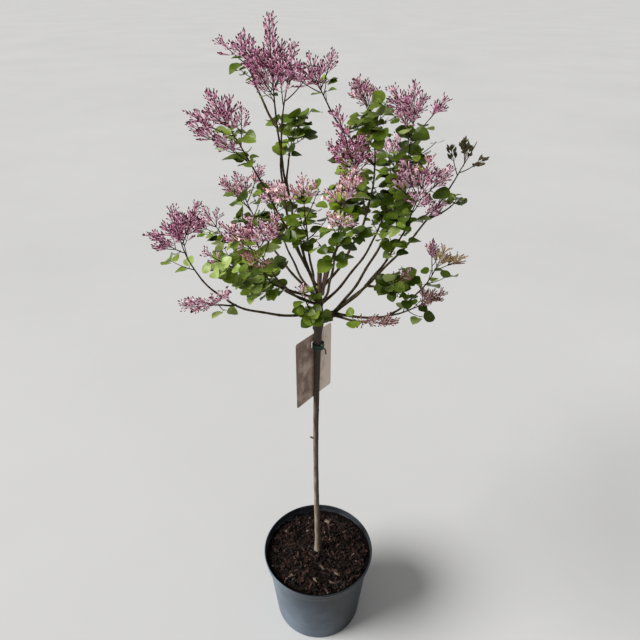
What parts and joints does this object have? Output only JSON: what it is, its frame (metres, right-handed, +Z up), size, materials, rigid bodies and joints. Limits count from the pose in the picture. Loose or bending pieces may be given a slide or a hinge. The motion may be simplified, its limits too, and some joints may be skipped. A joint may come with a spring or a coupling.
{
  "type": "potted lilac standard",
  "caption": "Grafted dwarf lilac on a slim straight stem in a round nursery pot, with a loose vase-shaped crown of upright shoots, round leaves and slim lilac-pink panicles.",
  "frame": {"origin": "middle of the pot's flat underside", "axes": "+Z up along the stem; +X to the right and +Y away, seen from the side with the label's free edge towards the back right"},
  "size_m": [0.5335, 0.4593, 1.341],
  "materials": {
    "pot": "moulded grey-blue plastic, satin, with faint turning lines and a scuffed rim",
    "soil": "loose dark brown bark chips, moist",
    "bark": "thin grey-brown bark with pale lenticels, lighter on old wood",
    "label": "blank matt card, slightly glossy coating",
    "tie": "dark green soft plastic cord",
    "foliage": "fresh mid-green leaves, satin, paler underneath",
    "blossom": "lilac-pink buds with dark purple tips, matt",
    "seed_head": "dry olive-brown seed capsules, matt"
  },
  "bodies": {
    "root": {"pot": "pot", "soil": "soil", "trunk": "bark", "label": "label", "tie": "tie", "bough_spire": "bark", "bough_top_mid": "bark", "bough_left_high": "bark", "bough_right_inner": "bark", "bough_right_crown": "bark", "bough_right_wide": "bark", "bough_seed_bough": "bark", "bough_low_right": "bark", "bough_low_front": "bark", "bough_far_left": "bark", "bough_left_mid": "bark", "bough_leafy_left": "bark", "bough_mid_outer": "bark", "bough_mid_left": "bark", "bough_centre_low": "bark", "bough_centre_front": "bark", "bough_back_left": "bark", "bough_back_mid": "bark", "bough_back_right": "bark", "bough_top_left": "bark", "bough_leaf_twig": "bark", "bough_top_arc": "bark", "bough_right_front": "bark", "bough_low_left": "bark", "bough_right_low": "bark", "bough_low_far": "bark", "bough_right_leaves": "bark", "foliage_spire": "blossom", "foliage_top_mid": "blossom", "foliage_left_high": "blossom", "foliage_right_inner": "foliage", "foliage_right_crown": "foliage", "foliage_right_wide": "foliage", "foliage_seed_bough": "seed_head", "foliage_low_right": "foliage", "foliage_low_front": "blossom", "foliage_far_left": "blossom", "foliage_left_mid": "foliage", "foliage_leafy_left": "foliage", "foliage_mid_outer": "foliage", "foliage_mid_left": "foliage", "foliage_centre_low": "foliage", "foliage_centre_front": "foliage", "foliage_back_left": "foliage", "foliage_back_mid": "foliage", "foliage_back_right": "foliage", "foliage_top_left": "foliage", "foliage_leaf_twig": "foliage", "foliage_top_arc": "foliage", "foliage_right_front": "foliage", "foliage_low_left": "blossom", "foliage_right_low": "foliage", "foliage_low_far": "foliage", "foliage_right_leaves": "foliage", "foliage_fork_sprig": "foliage"}
  },
  "joints": []
}
